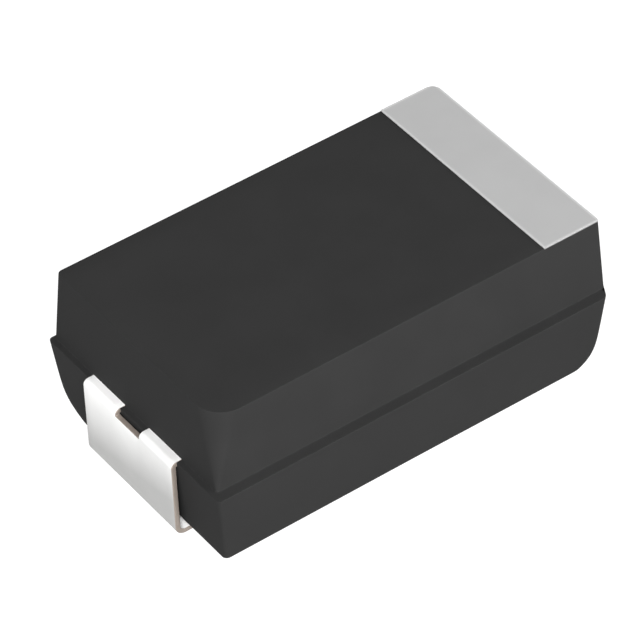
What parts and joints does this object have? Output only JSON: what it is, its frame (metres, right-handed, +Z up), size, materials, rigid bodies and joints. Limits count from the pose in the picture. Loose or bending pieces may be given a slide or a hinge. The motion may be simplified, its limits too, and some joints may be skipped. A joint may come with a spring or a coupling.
{
  "type": "tantalum capacitor",
  "caption": "Moulded surface-mount tantalum capacitor: drafted black epoxy block with a stepped parting line, printed polarity band and tinned strip terminals folded under both ends.",
  "frame": {"origin": "under the middle of the part, on the plane of the board that both terminal feet stand on", "axes": "+X along the length from the cathode end to the anode end with the polarity band, +Z up out of the board, +Y across the width"},
  "size_m": [0.0072, 0.0044, 0.0027],
  "materials": {
    "case_epoxy": "moulded epoxy compound, fine matte",
    "band_ink": "printed light grey ink",
    "terminal_tin": "tin-plated lead-frame strip",
    "sintered_tantalum": "porous sintered metal",
    "tantalum_wire": "drawn wire",
    "washer_ptfe": "white fluoropolymer",
    "manganese_dioxide": "black oxide",
    "graphite": "dull graphite",
    "silver_paint": "matte silver paint",
    "silver_epoxy": "silver-filled adhesive"
  },
  "bodies": {
    "root": {"molded_case": "case_epoxy", "polarity_band": "band_ink", "anode_terminal": "terminal_tin", "cathode_terminal": "terminal_tin", "tantalum_pellet": "sintered_tantalum", "riser_wire": "tantalum_wire", "wire_washer": "washer_ptfe", "manganese_dioxide_layer": "manganese_dioxide", "graphite_coat": "graphite", "silver_coat": "silver_paint", "silver_adhesive": "silver_epoxy"}
  },
  "joints": []
}
